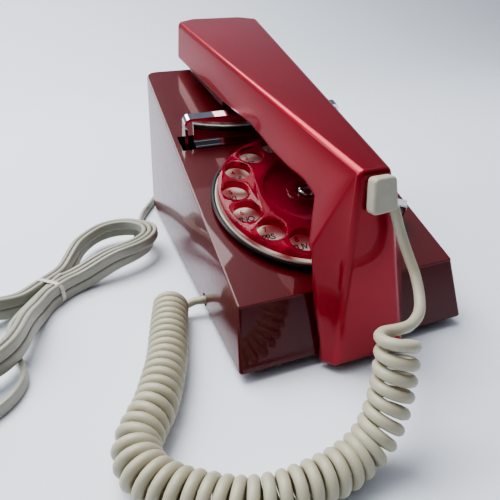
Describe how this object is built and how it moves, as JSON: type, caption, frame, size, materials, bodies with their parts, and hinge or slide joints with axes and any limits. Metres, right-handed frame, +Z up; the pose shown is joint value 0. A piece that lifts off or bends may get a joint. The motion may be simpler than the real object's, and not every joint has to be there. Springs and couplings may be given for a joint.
{
  "type": "corded landline telephone",
  "caption": "Slim wedge-shaped rotary dial telephone with a lengthwise handset on a bright cradle, a coiled handset cord and a tied hank of line cord ending in a plug.",
  "frame": {"origin": "centre of the telephone's footprint on the table, cords left out", "axes": "+Z up, +Y towards the back (high) end, -Y towards the user, +X to the telephone's right"},
  "size_m": [0.252, 0.2949, 0.1283],
  "materials": {
    "case_lacquer": "moulded case in dark red clear-coated gloss lacquer",
    "handset_lacquer": "moulded handset in a lighter metallic red gloss lacquer",
    "ear_cap_red": "dark red moulded cap, gloss",
    "clear_red": "clear crimson moulded acrylic, polished",
    "ivory_print": "off-white moulded plate with printed characters",
    "black_moulding": "black moulded plastic, fine satin texture",
    "pressed_base": "dark grey moulded base plate",
    "foot_rubber": "grey rubber foot",
    "screw_steel": "zinc plated steel",
    "bright_chrome": "polished chrome plate",
    "pressed_steel": "pressed zinc plated steel",
    "capsule_aluminium": "drawn aluminium shell",
    "machined_brass": "machined brass",
    "contact_block": "brown phenolic block with contact springs",
    "board_laminate": "green-brown laminate board",
    "wound_coil": "varnished winding on a laminated core",
    "capacitor_wrap": "waxed wrap",
    "terminal_black": "black moulded terminal block",
    "beige_cord": "warm light grey flexible cord jacket",
    "grey_cord": "grey flexible cord jacket",
    "tie_nylon": "off-white tie",
    "plug_moulding": "dark moulded plug body"
  },
  "bodies": {
    "base": {"base_cover": "case_lacquer", "base_plate": "pressed_base", "foot_1": "foot_rubber", "foot_2": "foot_rubber", "foot_3": "foot_rubber", "foot_4": "foot_rubber", "case_screw_1": "screw_steel", "case_screw_2": "screw_steel", "case_screw_3": "screw_steel", "case_screw_4": "screw_steel", "dial_cup": "black_moulding", "number_plate": "ivory_print", "dial_frame": "pressed_steel", "return_spring": "screw_steel", "impulse_contacts": "contact_block", "finger_stop": "bright_chrome", "cradle_guide": "black_moulding", "hook_switch": "contact_block", "circuit_board": "board_laminate", "induction_coil": "wound_coil", "capacitor": "capacitor_wrap", "terminal_block": "terminal_black", "ringer_frame": "pressed_steel", "ringer_gong": "machined_brass", "ringer_coil": "wound_coil", "handset_cord_coil": "beige_cord", "handset_cord_tail": "beige_cord", "cord_grommet": "grey_cord", "line_cord_run": "grey_cord", "line_cord_hank": "grey_cord", "cord_tie": "tie_nylon", "line_cord_end": "grey_cord", "line_plug": "plug_moulding", "plug_pin_1": "machined_brass", "plug_pin_2": "machined_brass", "plug_pin_3": "machined_brass", "plug_pin_4": "machined_brass"},
    "dial": {"finger_wheel": "clear_red", "wheel_screw": "bright_chrome", "dial_hub": "machined_brass", "dial_gear": "machined_brass"},
    "pulse": {"impulse_cam": "machined_brass"},
    "governor": {"governor": "machined_brass"},
    "cradle": {"cradle_bracket": "bright_chrome", "cradle_lever": "black_moulding"},
    "handset": {"handset_shell": "handset_lacquer", "ear_cap": "ear_cap_red", "receiver_capsule": "capsule_aluminium", "transmitter_capsule": "capsule_aluminium", "mouth_grille": "black_moulding", "cord_boot": "beige_cord", "handset_cord_lead": "beige_cord"},
    "clapper": {"ringer_clapper": "screw_steel"},
    "volume": {"volume_wheel": "black_moulding"}
  },
  "joints": [
    {"name": "handset_lift", "type": "slide", "parent": "base", "child": "handset", "axis": [0, 0, 1], "range_m": [0, 0.06]},
    {"name": "cradle_rise", "type": "slide", "parent": "base", "child": "cradle", "axis": [0, -0.3685, 0.9296], "range_m": [0, 0.006]},
    {"name": "dial_spin", "type": "hinge", "parent": "base", "child": "dial", "pos_m": [0, -0.04147, 0.05004], "axis": [0, -0.3685, 0.9296], "range_deg": [-323.4, 0], "stiffness_Nm_per_rad": 0.018, "springref_deg": 28.65},
    {"name": "pulse_spin", "type": "hinge", "parent": "base", "child": "pulse", "pos_m": [0.0147, -0.06514, 0.04065], "axis": [0, -0.3685, 0.9296], "range_deg": [0, 1560]},
    {"name": "governor_spin", "type": "hinge", "parent": "base", "child": "governor", "pos_m": [0, -0.01431, 0.0537], "axis": [1, 0, 0], "range_deg": [0, 3900]},
    {"name": "clapper_swing", "type": "hinge", "parent": "base", "child": "clapper", "pos_m": [-0.032, 0.0825, 0.037], "axis": [0, 0, 1], "range_deg": [-2.5, 1.5]},
    {"name": "volume_turn", "type": "hinge", "parent": "base", "child": "volume", "pos_m": [0.036, 0.082, 0.0116], "axis": [1, 0, 0], "range_deg": [0, 90]}
  ],
  "couplings": [
    {"joint": "cradle_rise", "follows": "handset_lift", "ratio": 0.1},
    {"joint": "pulse_spin", "follows": "dial_spin", "ratio": -4.8},
    {"joint": "governor_spin", "follows": "dial_spin", "ratio": -12}
  ]
}
